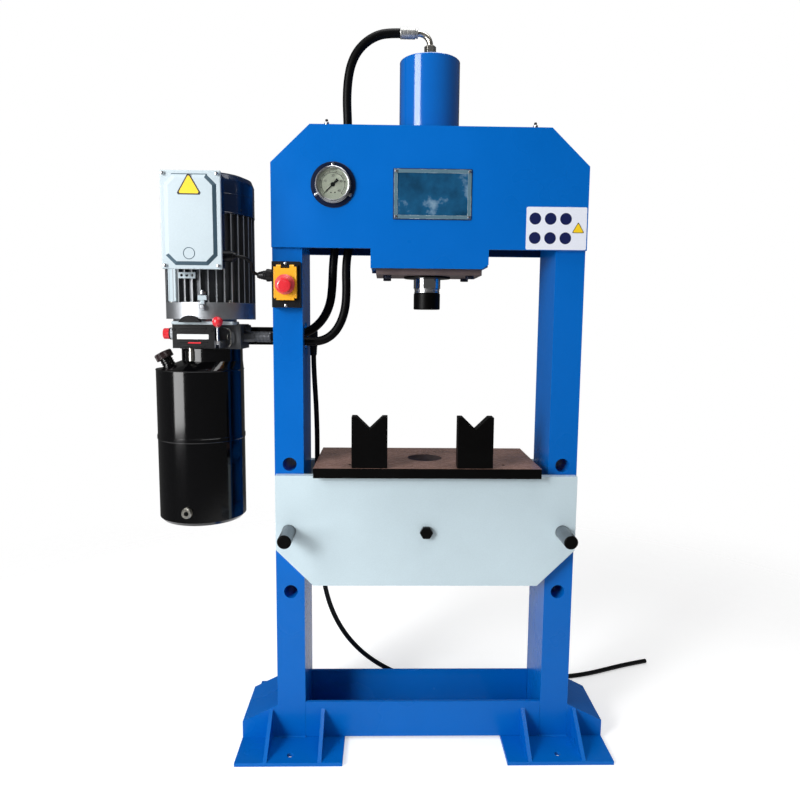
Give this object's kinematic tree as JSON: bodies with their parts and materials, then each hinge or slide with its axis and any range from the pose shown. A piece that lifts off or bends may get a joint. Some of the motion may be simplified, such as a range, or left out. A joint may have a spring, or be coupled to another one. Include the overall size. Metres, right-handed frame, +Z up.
{
  "type": "hydraulic press",
  "caption": "Electric hydraulic shop press: welded H-frame, hanging table with V-blocks, cylinder and ram in the crown, gauge, switch, and a motor pump unit with oil tank on the left.",
  "frame": {"origin": "on the floor, at the centre of the four anchor holes, under the axis of the ram", "axes": "+X to the right, with the power unit on the -X side, +Y to the back, +Z up"},
  "size_m": [1.5056, 0.5487, 1.906],
  "materials": {
    "blue_paint": "gloss",
    "table_paint": "gloss",
    "black_steel": "satin",
    "black_paint": "gloss",
    "cast_aluminium": "satin",
    "grey_paint": "satin",
    "bright_steel": "brushed",
    "hard_chrome": "polished",
    "black_rubber": "matte",
    "clear_glass": "clear",
    "dial_enamel": "matte",
    "black_plastic": "matte",
    "red_plastic": "gloss",
    "green_plastic": "gloss",
    "yellow_plastic": "gloss"
  },
  "bodies": {
    "frame": {"bed_plate": "black_steel", "cable_glands": "black_plastic", "crown_front_plate": "blue_paint", "crown_rear_plate": "blue_paint", "crown_seat_plate": "blue_paint", "crown_tie_bars": "blue_paint", "cylinder_barrel": "blue_paint", "drain_plug": "bright_steel", "fan_cowl": "grey_paint", "front_base_rail": "blue_paint", "gauge_case": "bright_steel", "gauge_dial": "dial_enamel", "gauge_glass": "clear_glass", "gear_pump": "black_paint", "hex_bolts": "bright_steel", "hose_ferrules": "bright_steel", "hose_fittings": "bright_steel", "left_column": "blue_paint", "left_foot": "blue_paint", "left_v_block": "black_steel", "lifting_bolts": "black_steel", "lower_hose": "black_rubber", "motor_cable": "black_rubber", "motor_end_shields": "cast_aluminium", "motor_housing": "cast_aluminium", "name_plate": "bright_steel", "oil_tank": "black_paint", "panel_screws": "bright_steel", "power_cord": "black_rubber", "power_unit_bracket": "black_paint", "pump_manifold": "cast_aluminium", "rear_base_rail": "blue_paint", "right_column": "blue_paint", "right_foot": "blue_paint", "right_v_block": "black_steel", "rod_gland": "black_steel", "switch_box": "black_plastic", "table_front_beam": "table_paint", "table_rear_beam": "table_paint", "table_spacers": "table_paint", "terminal_box": "grey_paint", "terminal_lid": "grey_paint", "top_hose": "black_rubber", "valve_body": "cast_aluminium"},
    "ram": {"ram_rod": "hard_chrome", "ram_nose": "black_steel", "piston": "bright_steel", "piston_seal": "black_rubber"},
    "left_table_pin": {"left_pin": "black_steel"},
    "right_table_pin": {"right_pin": "black_steel"},
    "gauge_needle": {"gauge_pointer": "black_plastic"},
    "switch_cover": {"switch_lid": "yellow_plastic"},
    "stop_head": {"emergency_button": "red_plastic"},
    "start_key": {"start_button": "green_plastic"},
    "stop_key": {"stop_button": "red_plastic"},
    "motor_shaft": {"motor_rotor": "cast_aluminium", "cooling_fan": "black_plastic"},
    "tank_cap": {"filler_cap": "black_plastic"},
    "valve_knob": {"pressure_knob": "red_plastic"},
    "hand_lever": {"release_lever": "red_plastic"}
  },
  "joints": [
    {"name": "ram_slide", "type": "slide", "parent": "frame", "child": "ram", "axis": [0, 0, -1], "range_m": [0, 0.25]},
    {"name": "left_pin_slide", "type": "slide", "parent": "frame", "child": "left_table_pin", "axis": [0, -1, 0], "range_m": [0, 0.25]},
    {"name": "right_pin_slide", "type": "slide", "parent": "frame", "child": "right_table_pin", "axis": [0, -1, 0], "range_m": [0, 0.25]},
    {"name": "pointer_turn", "type": "hinge", "parent": "frame", "child": "gauge_needle", "pos_m": [-0.244, -0.11, 1.49], "axis": [0, 1, 0], "range_deg": [0, 270], "stiffness_Nm_per_rad": 0.0005},
    {"name": "cover_hinge", "type": "hinge", "parent": "frame", "child": "switch_cover", "pos_m": [-0.361, -0.131, 1.285], "axis": [-1, 0, 0], "range_deg": [0, 110]},
    {"name": "stop_head_press", "type": "slide", "parent": "switch_cover", "child": "stop_head", "axis": [0, 1, 0], "range_m": [0, 0.005], "stiffness_N_per_m": 900},
    {"name": "start_key_press", "type": "slide", "parent": "frame", "child": "start_key", "axis": [0, 1, 0], "range_m": [0, 0.003], "stiffness_N_per_m": 500},
    {"name": "stop_key_press", "type": "slide", "parent": "frame", "child": "stop_key", "axis": [0, 1, 0], "range_m": [0, 0.003], "stiffness_N_per_m": 500},
    {"name": "motor_spin", "type": "hinge", "parent": "frame", "child": "motor_shaft", "pos_m": [-0.571, -0.03, 1.3], "axis": [0, 0, 1], "continuous": true},
    {"name": "cap_turn", "type": "hinge", "parent": "frame", "child": "tank_cap", "pos_m": [-0.676, -0.048, 1.024], "axis": [-0.4695, 0, 0.8829], "range_deg": [0, 90]},
    {"name": "knob_turn", "type": "hinge", "parent": "frame", "child": "valve_knob", "pos_m": [-0.665, -0.108, 1.117], "axis": [1, 0, 0], "range_deg": [-135, 135]},
    {"name": "lever_tilt", "type": "hinge", "parent": "frame", "child": "hand_lever", "pos_m": [-0.527, -0.15, 1.095], "axis": [1, 0, 0], "range_deg": [0, 25], "stiffness_Nm_per_rad": 1.2}
  ]
}
